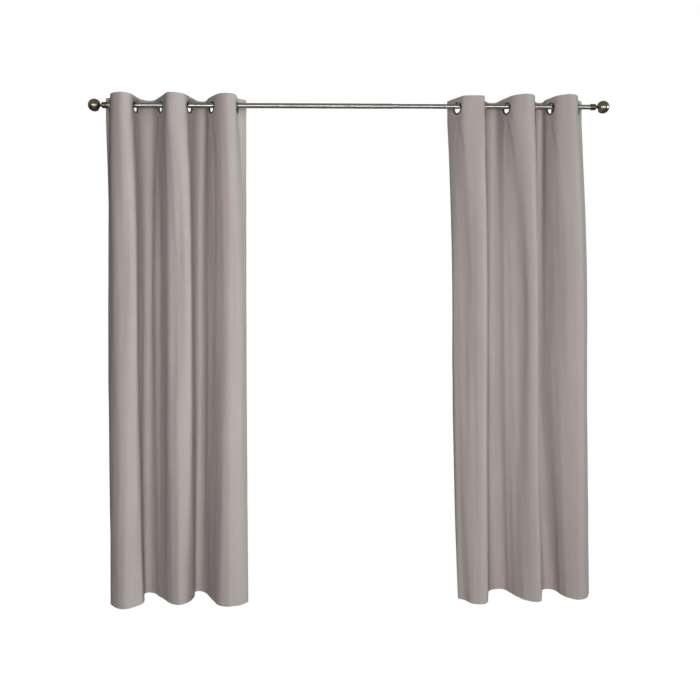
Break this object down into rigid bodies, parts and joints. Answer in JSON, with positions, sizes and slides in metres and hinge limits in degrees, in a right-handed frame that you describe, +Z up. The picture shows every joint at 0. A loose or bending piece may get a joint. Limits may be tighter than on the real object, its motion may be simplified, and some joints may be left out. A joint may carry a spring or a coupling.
{
  "type": "window curtains on a rod",
  "caption": "Pair of long grommet-top curtain panels hanging in soft folds on a telescoping rod with ball finials, carried by two wall brackets.",
  "frame": {"origin": "centre of the rectangle of four wall fixing holes in the two bracket plates, on the wall plane", "axes": "+Z up, +X along the wall to the right as seen from the room, +Y into the wall; the whole object is on the -Y side, in the room"},
  "size_m": [2.208, 0.1907, 2.1342],
  "materials": {
    "cloth": "matte woven taupe cloth",
    "rod_metal": "brushed pewter",
    "finial_metal": "dark satin pewter",
    "grommet_metal": "dark satin pewter",
    "bracket_metal": "dark pewter paint"
  },
  "bodies": {
    "wall_brackets": {"left_wall_plate": "bracket_metal", "left_bracket_arm": "bracket_metal", "right_wall_plate": "bracket_metal", "right_bracket_arm": "bracket_metal"},
    "left_thumb_screw": {"left_thumb_screw": "bracket_metal"},
    "right_thumb_screw": {"right_thumb_screw": "bracket_metal"},
    "outer_rod": {"outer_tube": "rod_metal"},
    "inner_rod": {"inner_tube": "rod_metal"},
    "left_finial": {"left_finial_collar": "finial_metal", "left_finial_ball": "finial_metal", "left_finial_set_screw": "finial_metal"},
    "right_finial": {"right_finial_collar": "finial_metal", "right_finial_ball": "finial_metal", "right_finial_set_screw": "finial_metal"},
    "left_grommet_1": {"left_grommet_front_1": "grommet_metal", "left_grommet_back_1": "grommet_metal", "left_cloth_flank_1": "cloth"},
    "left_crest_1": {"left_cloth_crest_1": "cloth"},
    "left_grommet_2": {"left_grommet_front_2": "grommet_metal", "left_grommet_back_2": "grommet_metal", "left_cloth_flank_2": "cloth"},
    "left_crest_2": {"left_cloth_crest_2": "cloth"},
    "left_grommet_3": {"left_grommet_front_3": "grommet_metal", "left_grommet_back_3": "grommet_metal", "left_cloth_flank_3": "cloth"},
    "left_crest_3": {"left_cloth_crest_3": "cloth"},
    "left_grommet_4": {"left_grommet_front_4": "grommet_metal", "left_grommet_back_4": "grommet_metal", "left_cloth_flank_4": "cloth"},
    "left_crest_4": {"left_cloth_crest_4": "cloth"},
    "left_grommet_5": {"left_grommet_front_5": "grommet_metal", "left_grommet_back_5": "grommet_metal", "left_cloth_flank_5": "cloth"},
    "left_crest_5": {"left_cloth_crest_5": "cloth"},
    "left_grommet_6": {"left_grommet_front_6": "grommet_metal", "left_grommet_back_6": "grommet_metal", "left_cloth_flank_6": "cloth"},
    "right_grommet_1": {"right_grommet_front_1": "grommet_metal", "right_grommet_back_1": "grommet_metal", "right_cloth_flank_1": "cloth"},
    "right_crest_1": {"right_cloth_crest_1": "cloth"},
    "right_grommet_2": {"right_grommet_front_2": "grommet_metal", "right_grommet_back_2": "grommet_metal", "right_cloth_flank_2": "cloth"},
    "right_crest_2": {"right_cloth_crest_2": "cloth"},
    "right_grommet_3": {"right_grommet_front_3": "grommet_metal", "right_grommet_back_3": "grommet_metal", "right_cloth_flank_3": "cloth"},
    "right_crest_3": {"right_cloth_crest_3": "cloth"},
    "right_grommet_4": {"right_grommet_front_4": "grommet_metal", "right_grommet_back_4": "grommet_metal", "right_cloth_flank_4": "cloth"},
    "right_crest_4": {"right_cloth_crest_4": "cloth"},
    "right_grommet_5": {"right_grommet_front_5": "grommet_metal", "right_grommet_back_5": "grommet_metal", "right_cloth_flank_5": "cloth"},
    "right_crest_5": {"right_cloth_crest_5": "cloth"},
    "right_grommet_6": {"right_grommet_front_6": "grommet_metal", "right_grommet_back_6": "grommet_metal", "right_cloth_flank_6": "cloth"}
  },
  "joints": [
    {"name": "rod_lift", "type": "slide", "parent": "wall_brackets", "child": "outer_rod", "axis": [0, 0, 1], "range_m": [0, 0.05]},
    {"name": "rod_extend", "type": "slide", "parent": "outer_rod", "child": "inner_rod", "axis": [1, 0, 0], "range_m": [-0.035, 0.25]},
    {"name": "left_finial_pull", "type": "slide", "parent": "outer_rod", "child": "left_finial", "axis": [-1, 0, 0], "range_m": [0, 0.04]},
    {"name": "right_finial_pull", "type": "slide", "parent": "inner_rod", "child": "right_finial", "axis": [1, 0, 0], "range_m": [0, 0.04]},
    {"name": "left_thumb_screw_turn", "type": "hinge", "parent": "wall_brackets", "child": "left_thumb_screw", "pos_m": [-0.9355, -0.12, -0.021], "axis": [0, 0, 1], "continuous": true},
    {"name": "right_thumb_screw_turn", "type": "hinge", "parent": "wall_brackets", "child": "right_thumb_screw", "pos_m": [0.9355, -0.12, -0.021], "axis": [0, 0, 1], "continuous": true},
    {"name": "left_end_slide", "type": "slide", "parent": "outer_rod", "child": "left_grommet_1", "axis": [1, 0, 0], "range_m": [-0.004, 0.018]},
    {"name": "left_draw", "type": "slide", "parent": "left_grommet_1", "child": "left_crest_1", "axis": [0.6866, 0.727, 0], "range_m": [-0.0099, 0.04952]},
    {"name": "left_grommet_2_slide", "type": "slide", "parent": "left_crest_1", "child": "left_grommet_2", "axis": [0.6866, -0.727, 0], "range_m": [-0.00992, 0.04954]},
    {"name": "left_crest_2_slide", "type": "slide", "parent": "left_grommet_2", "child": "left_crest_2", "axis": [0.6146, -0.7889, 0], "range_m": [-0.01092, 0.05453]},
    {"name": "left_grommet_3_slide", "type": "slide", "parent": "left_crest_2", "child": "left_grommet_3", "axis": [0.6146, 0.7889, 0], "range_m": [-0.01092, 0.05453]},
    {"name": "left_crest_3_slide", "type": "slide", "parent": "left_grommet_3", "child": "left_crest_3", "axis": [0.6034, 0.7974, 0], "range_m": [-0.0093, 0.04642]},
    {"name": "left_grommet_4_slide", "type": "slide", "parent": "left_crest_3", "child": "left_grommet_4", "axis": [0.6034, -0.7974, 0], "range_m": [-0.0093, 0.04642]},
    {"name": "left_crest_4_slide", "type": "slide", "parent": "left_grommet_4", "child": "left_crest_4", "axis": [0.6, -0.8, 0], "range_m": [-0.01302, 0.06502]},
    {"name": "left_grommet_5_slide", "type": "slide", "parent": "left_crest_4", "child": "left_grommet_5", "axis": [0.6, 0.8, 0], "range_m": [-0.01302, 0.06502]},
    {"name": "left_crest_5_slide", "type": "slide", "parent": "left_grommet_5", "child": "left_crest_5", "axis": [0.7765, 0.6302, 0], "range_m": [-0.00891, 0.04445]},
    {"name": "left_grommet_6_slide", "type": "slide", "parent": "left_crest_5", "child": "left_grommet_6", "axis": [0.7765, -0.6302, 0], "range_m": [-0.00891, 0.04445]},
    {"name": "right_end_slide", "type": "slide", "parent": "outer_rod", "child": "right_grommet_1", "axis": [-1, 0, 0], "range_m": [-0.006, 0.03]},
    {"name": "right_draw", "type": "slide", "parent": "right_grommet_1", "child": "right_crest_1", "axis": [-0.6958, 0.7182, 0], "range_m": [-0.00891, 0.04455]},
    {"name": "right_grommet_2_slide", "type": "slide", "parent": "right_crest_1", "child": "right_grommet_2", "axis": [-0.6958, -0.7182, 0], "range_m": [-0.00893, 0.04457]},
    {"name": "right_crest_2_slide", "type": "slide", "parent": "right_grommet_2", "child": "right_crest_2", "axis": [-0.5892, -0.808, 0], "range_m": [-0.0119, 0.05942]},
    {"name": "right_grommet_3_slide", "type": "slide", "parent": "right_crest_2", "child": "right_grommet_3", "axis": [-0.5892, 0.808, 0], "range_m": [-0.0119, 0.05942]},
    {"name": "right_crest_3_slide", "type": "slide", "parent": "right_grommet_3", "child": "right_crest_3", "axis": [-0.638, 0.77, 0], "range_m": [-0.00911, 0.04547]},
    {"name": "right_grommet_4_slide", "type": "slide", "parent": "right_crest_3", "child": "right_grommet_4", "axis": [-0.638, -0.77, 0], "range_m": [-0.00911, 0.04547]},
    {"name": "right_crest_4_slide", "type": "slide", "parent": "right_grommet_4", "child": "right_crest_4", "axis": [-0.5812, -0.8137, 0], "range_m": [-0.01378, 0.06884]},
    {"name": "right_grommet_5_slide", "type": "slide", "parent": "right_crest_4", "child": "right_grommet_5", "axis": [-0.5812, 0.8137, 0], "range_m": [-0.01378, 0.06884]},
    {"name": "right_crest_5_slide", "type": "slide", "parent": "right_grommet_5", "child": "right_crest_5", "axis": [-0.7704, 0.6376, 0], "range_m": [-0.00755, 0.03766]},
    {"name": "right_grommet_6_slide", "type": "slide", "parent": "right_crest_5", "child": "right_grommet_6", "axis": [-0.7704, -0.6376, 0], "range_m": [-0.00755, 0.03766]}
  ],
  "couplings": [
    {"joint": "left_grommet_2_slide", "follows": "left_draw", "ratio": 1},
    {"joint": "left_crest_2_slide", "follows": "left_draw", "ratio": 1.1008},
    {"joint": "left_grommet_3_slide", "follows": "left_draw", "ratio": 1.1008},
    {"joint": "left_crest_3_slide", "follows": "left_draw", "ratio": 0.93705},
    {"joint": "left_grommet_4_slide", "follows": "left_draw", "ratio": 0.93705},
    {"joint": "left_crest_4_slide", "follows": "left_draw", "ratio": 1.3127},
    {"joint": "left_grommet_5_slide", "follows": "left_draw", "ratio": 1.3127},
    {"joint": "left_crest_5_slide", "follows": "left_draw", "ratio": 0.89731},
    {"joint": "left_grommet_6_slide", "follows": "left_draw", "ratio": 0.89731},
    {"joint": "right_grommet_2_slide", "follows": "right_draw", "ratio": 1},
    {"joint": "right_crest_2_slide", "follows": "right_draw", "ratio": 1.3334},
    {"joint": "right_grommet_3_slide", "follows": "right_draw", "ratio": 1.3334},
    {"joint": "right_crest_3_slide", "follows": "right_draw", "ratio": 1.0202},
    {"joint": "right_grommet_4_slide", "follows": "right_draw", "ratio": 1.0202},
    {"joint": "right_crest_4_slide", "follows": "right_draw", "ratio": 1.5446},
    {"joint": "right_grommet_5_slide", "follows": "right_draw", "ratio": 1.5446},
    {"joint": "right_crest_5_slide", "follows": "right_draw", "ratio": 0.8449},
    {"joint": "right_grommet_6_slide", "follows": "right_draw", "ratio": 0.8449}
  ]
}
